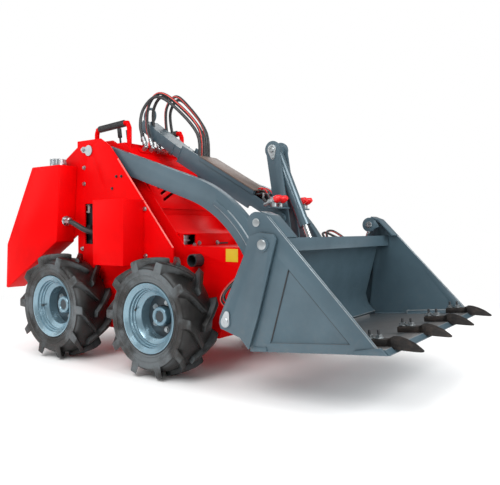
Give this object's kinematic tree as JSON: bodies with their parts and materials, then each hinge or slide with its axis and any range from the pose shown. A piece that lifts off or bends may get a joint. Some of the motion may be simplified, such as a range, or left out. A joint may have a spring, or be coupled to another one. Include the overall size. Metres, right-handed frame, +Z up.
{
  "type": "compact skid steer loader",
  "caption": "Compact stand-on skid steer loader on lugged tyres, with curved lift arms, a tilt cylinder on a mast and a clamshell bucket with teeth.",
  "frame": {"origin": "on the ground under the middle of the machine's outline", "axes": "+X forward, +Y to the machine's left, +Z up"},
  "size_m": [2.6926, 1.259, 1.5328],
  "materials": {
    "red_paint": "gloss powder coat",
    "zinc": "bright zinc plate",
    "black_parts": "satin black",
    "rubber": "matt rubber",
    "tyre": "used tyre rubber",
    "rim_paint": "silver paint",
    "slate_paint": "satin slate grey",
    "red_coupler": "moulded dust caps",
    "chrome": "hard chrome",
    "cast_teeth": "rough casting"
  },
  "bodies": {
    "chassis": {"frame_tub": "red_paint", "inner_plate_r": "red_paint", "inner_plate_l": "red_paint", "tower_plate_r": "red_paint", "tower_plate_l": "red_paint", "hood": "red_paint", "console": "red_paint", "valve_bank": "zinc", "controls": "black_parts", "tank_r": "red_paint", "tank_l": "red_paint", "filler_caps": "zinc", "side_box_r": "red_paint", "side_box_l": "red_paint", "grab_handles": "red_paint", "handle_grips": "rubber", "engine": "black_parts", "muffler": "zinc", "exhaust_outlet": "black_parts", "axles": "black_parts", "platform": "black_parts", "pivot_pins": "zinc", "tank_hose": "rubber", "hose_loops": "rubber"},
    "wheel_fr": {"tyre_fr": "tyre", "rim_fr": "rim_paint"},
    "wheel_fl": {"tyre_fl": "tyre", "rim_fl": "rim_paint"},
    "wheel_rr": {"tyre_rr": "tyre", "rim_rr": "rim_paint"},
    "wheel_rl": {"tyre_rl": "tyre", "rim_rl": "rim_paint"},
    "lift_arms": {"arm_r": "slate_paint", "arm_l": "slate_paint", "cross_tube": "slate_paint", "mast": "slate_paint", "hose_beam": "slate_paint", "hose_cover": "slate_paint", "couplers": "red_coupler"},
    "lift_barrel_pair": {"lift_barrels": "slate_paint"},
    "lift_rod_pair": {"lift_rods": "chrome"},
    "tilt_cylinder": {"tilt_barrel": "slate_paint"},
    "tilt_piston": {"tilt_rod": "chrome"},
    "bucket": {"hitch": "slate_paint", "bucket_back": "slate_paint"},
    "bucket_jaw": {"jaw": "slate_paint", "teeth": "cast_teeth"},
    "jaw_barrel_pair": {"jaw_barrels": "slate_paint"},
    "jaw_rod_pair": {"jaw_rods": "chrome"}
  },
  "joints": [
    {"name": "wheel_fr_spin", "type": "hinge", "parent": "chassis", "child": "wheel_fr", "pos_m": [0.03369, -0.477, 0.292], "axis": [0, 1, 0], "continuous": true},
    {"name": "wheel_fl_spin", "type": "hinge", "parent": "chassis", "child": "wheel_fl", "pos_m": [0.03369, 0.477, 0.292], "axis": [0, 1, 0], "continuous": true},
    {"name": "wheel_rr_spin", "type": "hinge", "parent": "chassis", "child": "wheel_rr", "pos_m": [-0.72631, -0.477, 0.292], "axis": [0, 1, 0], "continuous": true},
    {"name": "wheel_rl_spin", "type": "hinge", "parent": "chassis", "child": "wheel_rl", "pos_m": [-0.72631, 0.477, 0.292], "axis": [0, 1, 0], "continuous": true},
    {"name": "lift", "type": "hinge", "parent": "chassis", "child": "lift_arms", "pos_m": [-0.68031, 0, 1.178], "axis": [0, -1, 0], "range_deg": [-8, 58], "deforming": ["hose_loops"]},
    {"name": "tilt", "type": "hinge", "parent": "lift_arms", "child": "bucket", "pos_m": [0.55369, 0, 0.395], "axis": [0, 1, 0], "range_deg": [-10, 70]},
    {"name": "jaw_open", "type": "hinge", "parent": "bucket", "child": "bucket_jaw", "pos_m": [0.73145, 0, 0.65795], "axis": [0, -1, 0], "range_deg": [0, 45]},
    {"name": "lift_barrel_swing", "type": "hinge", "parent": "chassis", "child": "lift_barrel_pair", "pos_m": [-0.57631, 0, 0.42], "axis": [0, -1, 0], "range_deg": [-1.21, 5.21]},
    {"name": "lift_rod_slide", "type": "slide", "parent": "lift_barrel_pair", "child": "lift_rod_pair", "axis": [0.2313, 0, 0.9729], "range_m": [-0.0409, 0.2713]},
    {"name": "tilt_barrel_swing", "type": "hinge", "parent": "lift_arms", "child": "tilt_cylinder", "pos_m": [0.39869, 0, 1.13], "axis": [0, -1, 0], "range_deg": [-0.97, 3.37]},
    {"name": "tilt_rod_slide", "type": "slide", "parent": "tilt_cylinder", "child": "tilt_piston", "axis": [0.3971, 0, -0.9178], "range_m": [-0.0348, 0.2193]},
    {"name": "jaw_barrel_swing", "type": "hinge", "parent": "bucket", "child": "jaw_barrel_pair", "pos_m": [0.54601, 0, 0.33092], "axis": [0, -1, 0], "range_deg": [-0.57, 5.52]},
    {"name": "jaw_rod_slide", "type": "slide", "parent": "jaw_barrel_pair", "child": "jaw_rod_pair", "axis": [0.3265, 0, 0.9452], "range_m": [-0.069, 0.004]}
  ],
  "couplings": [
    {"joint": "lift_barrel_swing", "follows": "lift", "ratio": 0.08},
    {"joint": "lift_rod_slide", "follows": "lift", "m_per_rad": 0.26403},
    {"joint": "tilt_barrel_swing", "follows": "tilt", "ratio": 0.04},
    {"joint": "tilt_rod_slide", "follows": "tilt", "m_per_rad": 0.17619},
    {"joint": "jaw_barrel_swing", "follows": "jaw_open", "ratio": 0.11},
    {"joint": "jaw_rod_slide", "follows": "jaw_open", "m_per_rad": -0.082753}
  ]
}
